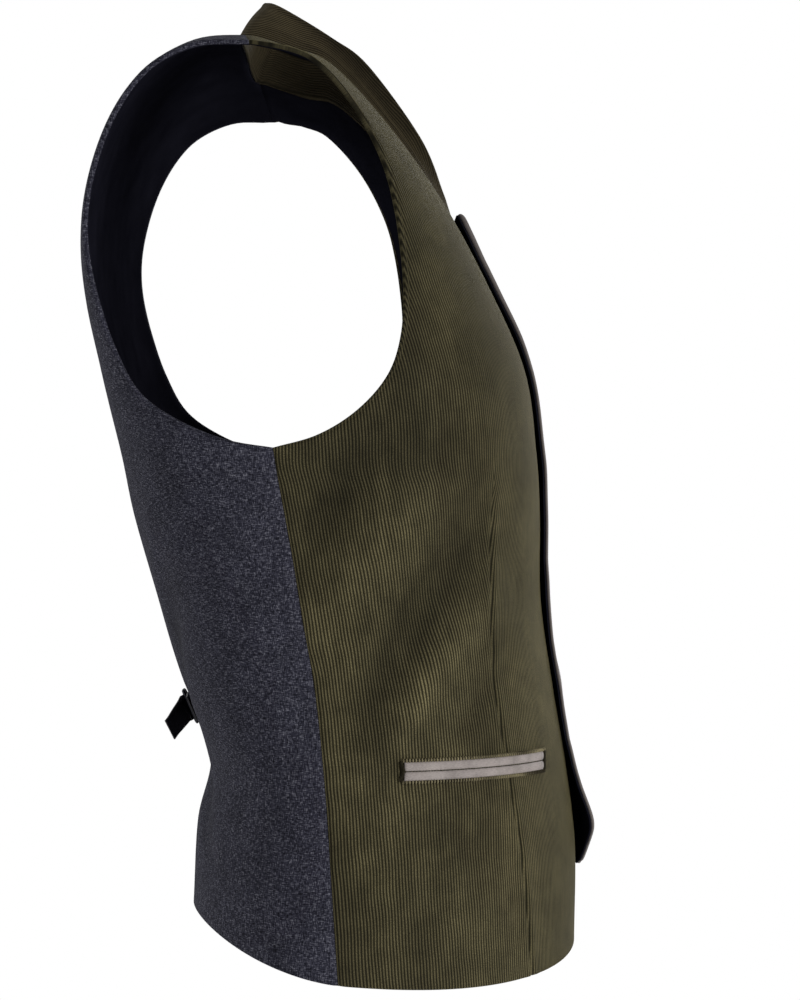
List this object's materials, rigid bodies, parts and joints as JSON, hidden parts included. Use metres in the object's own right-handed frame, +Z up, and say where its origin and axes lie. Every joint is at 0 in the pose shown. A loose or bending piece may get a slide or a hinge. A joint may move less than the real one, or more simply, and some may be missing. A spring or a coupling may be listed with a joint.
{
  "type": "vest",
  "caption": "Sleeveless fitted vest of ribbed cloth with a plain woven back, a standing band collar along its V neckline, a front flap, jetted pockets and a waist strap.",
  "frame": {"origin": "midway between the neck ends of the two shoulder seams, where the wearer's shoulders and neck hold the vest", "axes": "+Z up along the standing wearer, -Y to the wearer's front, -X to the wearer's right"},
  "size_m": [0.3432, 0.2958, 0.5682],
  "materials": {
    "olive_corduroy": "fine corduroy, matt pile",
    "melange_wool": "melange wool, matt",
    "navy_satin": "satin lining",
    "taupe_satin": "satin cloth",
    "black_satin": "satin ribbon",
    "dark_metal": "darkened, satin"
  },
  "bodies": {
    "root": {"front_right": "olive_corduroy", "front_left": "olive_corduroy", "back": "melange_wool", "lining_front_right": "navy_satin", "lining_front_left": "navy_satin", "lining_back": "navy_satin", "collar": "olive_corduroy", "front_flap": "taupe_satin", "front_flap_lining": "navy_satin", "pocket_right_upper": "taupe_satin", "pocket_right_lower": "taupe_satin", "pocket_left_upper": "taupe_satin", "pocket_left_lower": "taupe_satin", "strap_left": "black_satin", "strap_right": "black_satin", "strap_slider": "dark_metal"}
  },
  "joints": []
}
